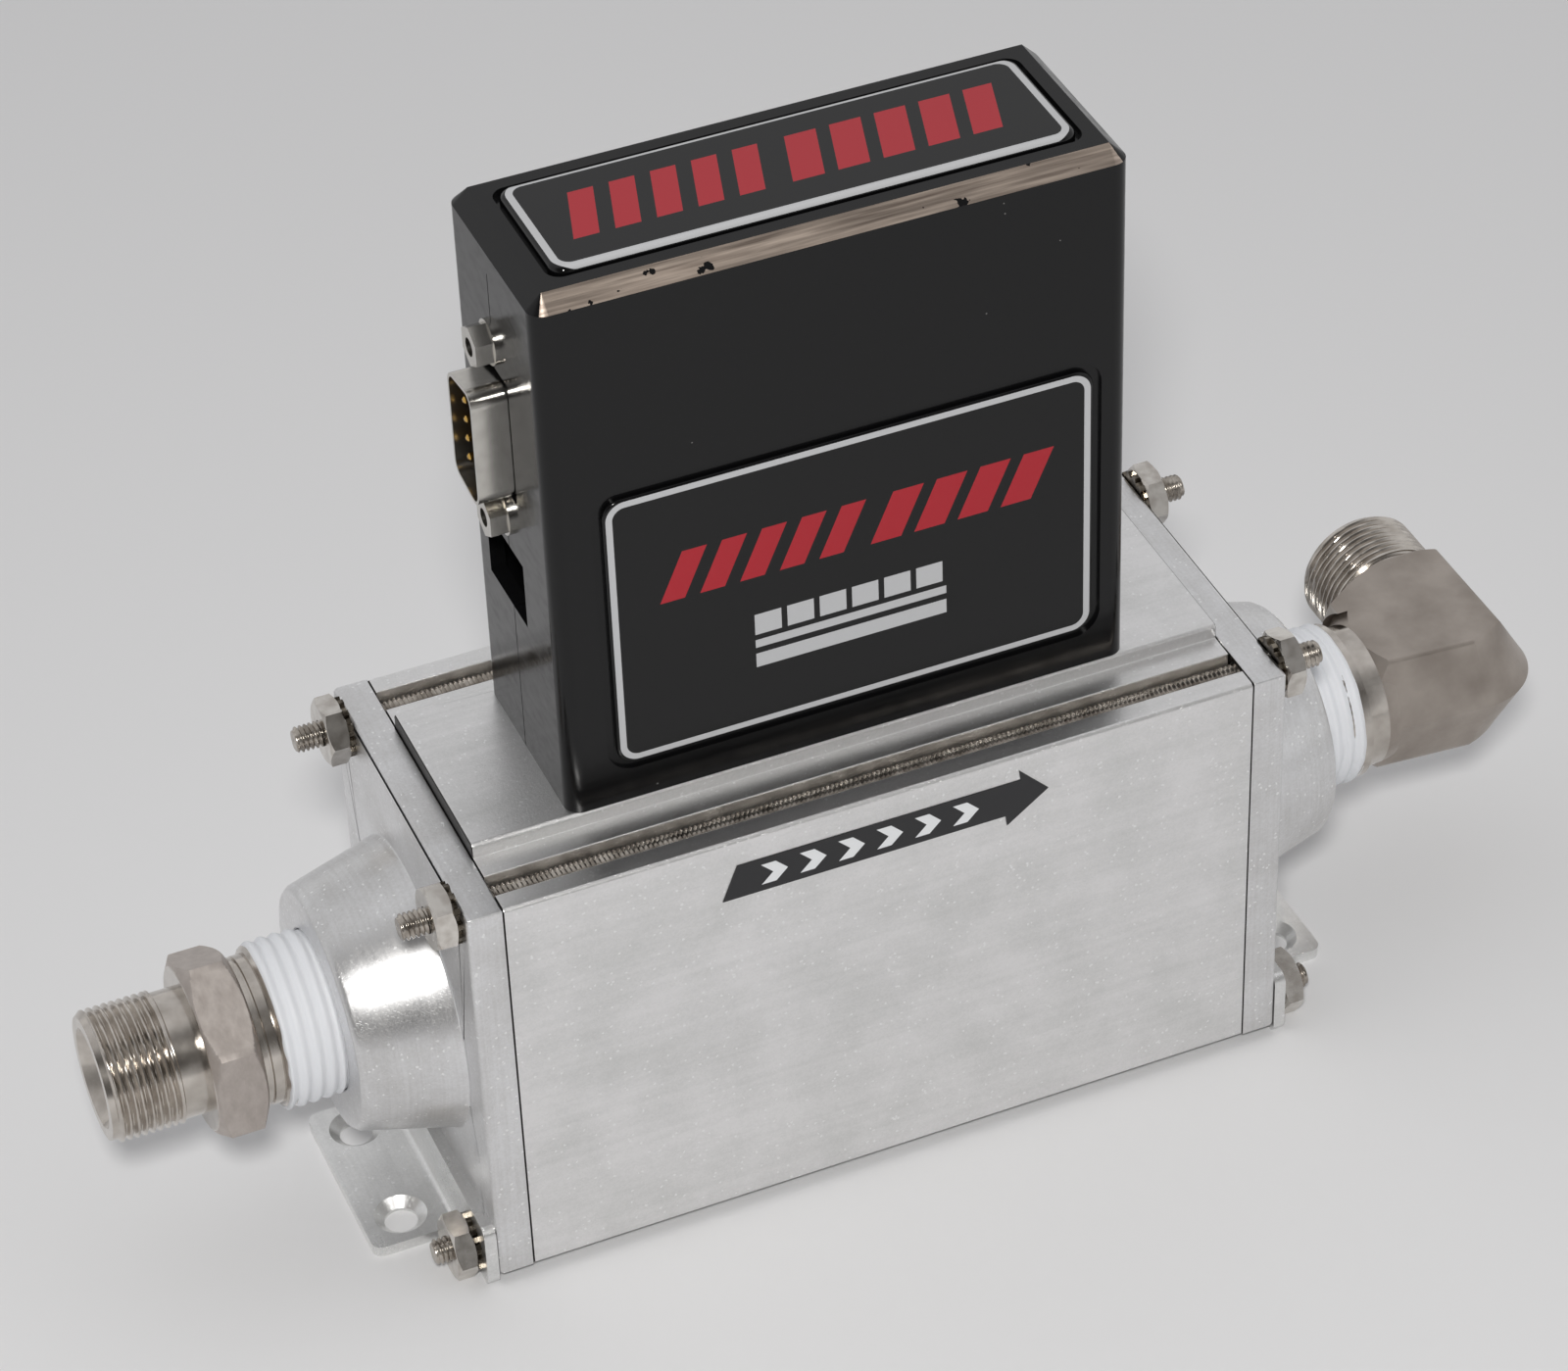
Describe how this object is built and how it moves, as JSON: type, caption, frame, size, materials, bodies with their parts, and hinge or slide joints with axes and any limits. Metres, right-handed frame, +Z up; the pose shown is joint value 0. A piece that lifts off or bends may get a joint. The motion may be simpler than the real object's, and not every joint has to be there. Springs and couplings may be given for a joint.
{
  "type": "mass flow meter",
  "caption": "Gas mass flow meter: bored aluminium block between end plates with pipe fittings, on folded feet, with a black sensor housing and side connector on top.",
  "frame": {"origin": "middle of the block in X and Y, on the surface that the feet stand on", "axes": "+X along the flow from inlet to outlet, +Y to the rear away from the labelled front, +Z up"},
  "size_m": [0.2036, 0.05, 0.1408],
  "materials": {
    "extruded_aluminium": "satin, as drawn",
    "cast_aluminium": "satin, blasted",
    "sheet_aluminium": "satin",
    "stainless_steel": "turned and forged, satin",
    "zinc_steel": "bright plated",
    "black_plastic": "glossy moulded",
    "label_film": "printed film under clear resin",
    "decal_film": "printed film",
    "ptfe_tape": "soft white",
    "rubber_seal": "matt",
    "circuit_board": "green solder mask",
    "plug_insulator": "moulded",
    "gold_pins": "gold plated",
    "trimmer_plastic": "moulded",
    "tinned_steel": "tin plated sheet",
    "copper_winding": "enamelled wire"
  },
  "bodies": {
    "root": {"flow_body": "extruded_aluminium", "inlet_end_plate": "cast_aluminium", "outlet_end_plate": "cast_aluminium", "inlet_end_seal": "rubber_seal", "outlet_end_seal": "rubber_seal", "tie_rod_front_lower": "stainless_steel", "tie_rod_front_upper": "stainless_steel", "tie_rod_rear_lower": "stainless_steel", "tie_rod_rear_upper": "stainless_steel", "inlet_tie_rod_nuts": "zinc_steel", "outlet_tie_rod_nuts": "zinc_steel", "inlet_lock_washers": "zinc_steel", "outlet_lock_washers": "zinc_steel", "inlet_foot_bracket": "sheet_aluminium", "outlet_foot_bracket": "sheet_aluminium", "inlet_fitting": "stainless_steel", "outlet_elbow": "stainless_steel", "inlet_tape_wrap": "ptfe_tape", "outlet_tape_wrap": "ptfe_tape", "laminar_flow_element": "stainless_steel", "inlet_spacer": "stainless_steel", "outlet_spacer": "stainless_steel", "inlet_screen": "stainless_steel", "sensor_base": "stainless_steel", "sensor_screws": "zinc_steel", "sensor_port_seals": "rubber_seal", "sensor_tube": "stainless_steel", "sensor_windings": "copper_winding", "sensor_cover": "tinned_steel", "case_front_half": "black_plastic", "case_rear_half": "black_plastic", "case_screws": "zinc_steel", "top_cap": "black_plastic", "top_label": "label_film", "front_label": "label_film", "flow_arrow_decal": "decal_film", "connector_shell": "tinned_steel", "connector_insulator": "plug_insulator", "connector_pins": "gold_pins", "connector_jackscrews": "zinc_steel", "circuit_board": "circuit_board", "zero_trimmer": "trimmer_plastic", "span_trimmer": "trimmer_plastic"}
  },
  "joints": []
}
